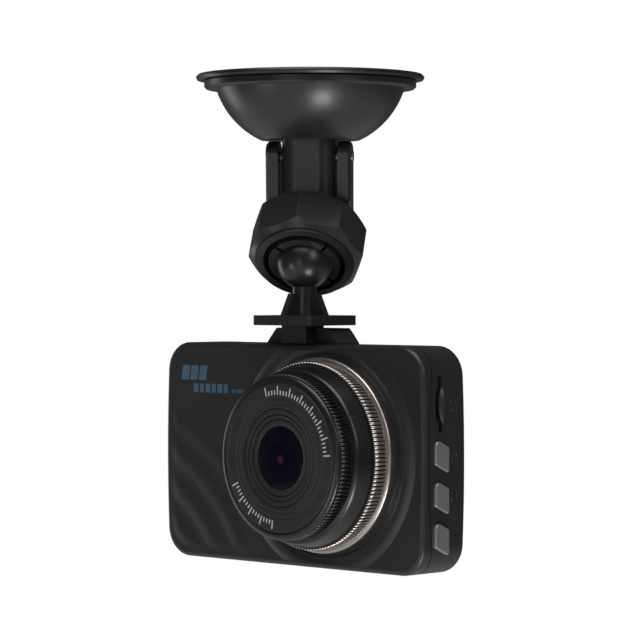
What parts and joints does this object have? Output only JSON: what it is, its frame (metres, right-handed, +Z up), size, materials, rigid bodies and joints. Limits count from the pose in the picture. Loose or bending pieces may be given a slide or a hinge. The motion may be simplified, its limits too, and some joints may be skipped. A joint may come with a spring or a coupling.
{
  "type": "dash camera",
  "caption": "Slim rectangular dash camera with a large off-centre ringed lens, side buttons and card slot, hanging from a lever suction cup and ball-joint mount.",
  "frame": {"origin": "centre of the suction pad's sealing face, which faces up", "axes": "+Z up out of the sealing face, the camera's lens looks along -Y, the card slot faces +X"},
  "size_m": [0.0854, 0.0538, 0.1148],
  "materials": {
    "pad_rubber": "soft black rubber with a slight sheen",
    "mount_plastic": "satin black moulded plastic",
    "case_plastic": "matt charcoal black plastic",
    "white_plastic": "plain off-white plastic",
    "steel": "plain steel",
    "window": "glossy black screen window",
    "bright_trim": "bright satin ring with a fine knurl",
    "lens_glass": "coated optical glass",
    "silver_plastic": "silver painted plastic",
    "board": "green circuit board",
    "chip": "black component plastic",
    "cell_foil": "foil pouch",
    "foam": "grey foam"
  },
  "bodies": {
    "mount": {"suction_pad": "pad_rubber", "suction_base": "mount_plastic"},
    "plunger": {"plunger": "white_plastic", "lever_pin": "steel"},
    "lever": {"lever": "mount_plastic"},
    "nut": {"socket_nut": "mount_plastic"},
    "friction_seat": {"friction_pad": "white_plastic"},
    "ball": {"ball": "mount_plastic"},
    "stud": {"ball_stud": "mount_plastic"},
    "camera": {"front_cover": "case_plastic", "rear_case": "case_plastic", "lcd_window": "window", "lens_trim_ring": "bright_trim", "barrel_ring": "case_plastic", "lens_face": "case_plastic", "front_glass": "lens_glass", "lens_core": "case_plastic", "middle_element": "lens_glass", "rear_element": "lens_glass", "lens_holder": "case_plastic", "ir_filter": "lens_glass", "image_sensor": "chip", "main_pcb": "board", "pcb_chips": "chip", "lcd_panel": "chip", "battery": "cell_foil", "battery_foam": "foam", "speaker": "chip", "microphone": "steel", "usb_socket": "steel", "av_socket": "chip", "card_socket": "steel", "side_board_right": "board", "side_board_left": "board", "switches_right": "chip", "switches_left": "chip", "case_screws": "steel"},
    "button_right_1": {"button_right_1": "silver_plastic"},
    "button_right_2": {"button_right_2": "silver_plastic"},
    "button_right_3": {"button_right_3": "silver_plastic"},
    "button_left_1": {"button_left_1": "silver_plastic"},
    "button_left_2": {"button_left_2": "silver_plastic"},
    "button_left_3": {"button_left_3": "silver_plastic"}
  },
  "joints": [
    {"name": "plunger_slide", "type": "slide", "parent": "mount", "child": "plunger", "axis": [0, 0, 1], "range_m": [0, 0.0011]},
    {"name": "lever_pivot", "type": "hinge", "parent": "plunger", "child": "lever", "pos_m": [0, 0, -0.01924], "axis": [0.829, 0.5592, 0], "range_deg": [0, 60]},
    {"name": "nut_turn", "type": "hinge", "parent": "mount", "child": "nut", "pos_m": [0.00419, -0.00622, -0.044], "axis": [0.3742, -0.5547, -0.7431], "range_deg": [0, 180]},
    {"name": "ball_azimuth", "type": "hinge", "parent": "mount", "child": "friction_seat", "pos_m": [0.00419, -0.00622, -0.044], "axis": [0.3742, -0.5547, -0.7431], "range_deg": [-30, 30]},
    {"name": "ball_tilt", "type": "hinge", "parent": "friction_seat", "child": "ball", "pos_m": [0.00419, -0.00622, -0.044], "axis": [0.829, 0.5592, 0], "range_deg": [-80, 2]},
    {"name": "ball_swivel", "type": "hinge", "parent": "ball", "child": "stud", "pos_m": [0.00419, -0.00622, -0.044], "axis": [0, 0, 1], "continuous": true},
    {"name": "camera_slide", "type": "slide", "parent": "stud", "child": "camera", "axis": [0, 1, 0], "range_m": [0, 0.007]},
    {"name": "button_right_1_press", "type": "slide", "parent": "camera", "child": "button_right_1", "axis": [-1, 0, 0], "range_m": [0, 0.0004], "stiffness_N_per_m": 800},
    {"name": "button_right_2_press", "type": "slide", "parent": "camera", "child": "button_right_2", "axis": [-1, 0, 0], "range_m": [0, 0.0004], "stiffness_N_per_m": 800},
    {"name": "button_right_3_press", "type": "slide", "parent": "camera", "child": "button_right_3", "axis": [-1, 0, 0], "range_m": [0, 0.0004], "stiffness_N_per_m": 800},
    {"name": "button_left_1_press", "type": "slide", "parent": "camera", "child": "button_left_1", "axis": [1, 0, 0], "range_m": [0, 0.0004], "stiffness_N_per_m": 800},
    {"name": "button_left_2_press", "type": "slide", "parent": "camera", "child": "button_left_2", "axis": [1, 0, 0], "range_m": [0, 0.0004], "stiffness_N_per_m": 800},
    {"name": "button_left_3_press", "type": "slide", "parent": "camera", "child": "button_left_3", "axis": [1, 0, 0], "range_m": [0, 0.0004], "stiffness_N_per_m": 800}
  ],
  "couplings": [
    {"joint": "plunger_slide", "follows": "lever_pivot", "m_per_rad": 0.00105}
  ]
}
